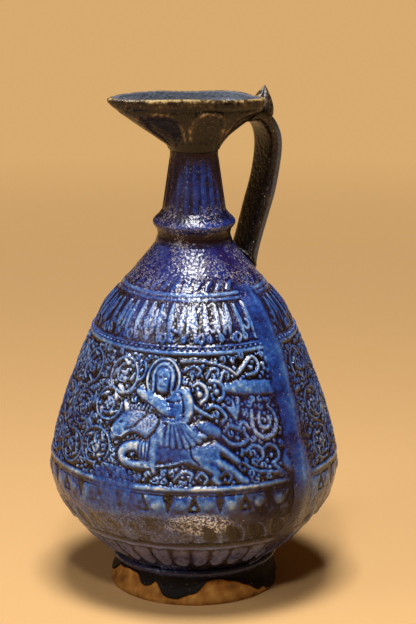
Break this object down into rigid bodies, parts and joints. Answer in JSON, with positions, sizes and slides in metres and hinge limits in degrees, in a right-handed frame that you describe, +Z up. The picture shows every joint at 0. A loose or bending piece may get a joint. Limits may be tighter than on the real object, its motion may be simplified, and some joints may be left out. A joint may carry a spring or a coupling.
{
  "type": "moulded ewer",
  "caption": "Pear-shaped glazed pottery ewer with a boat-shaped pouring mouth, strap handle, bud-shaped thumb rest, relief bands on the body and a splayed foot ring.",
  "frame": {"origin": "centre of the foot ring's standing face", "axes": "+Z up along the axis the body is turned about, +X towards the handle, -X towards the pouring lip"},
  "size_m": [0.15, 0.1508, 0.2613],
  "materials": {
    "cobalt_glaze": "glossy cobalt-blue glaze over moulded relief",
    "pooled_glaze": "glossy glaze pooled to near-black",
    "bare_clay": "matt buff fired clay"
  },
  "bodies": {
    "root": {"foot_ring": "bare_clay", "foot_fillet": "cobalt_glaze", "glaze_run": "pooled_glaze", "body_front_half": "cobalt_glaze", "body_back_half": "cobalt_glaze", "seam_strip_right": "cobalt_glaze", "seam_strip_left": "cobalt_glaze", "neck": "cobalt_glaze", "collar_ring": "cobalt_glaze", "mouth_cup": "pooled_glaze", "handle_strap": "pooled_glaze", "handle_pad": "pooled_glaze", "thumb_rest": "pooled_glaze"}
  },
  "joints": []
}
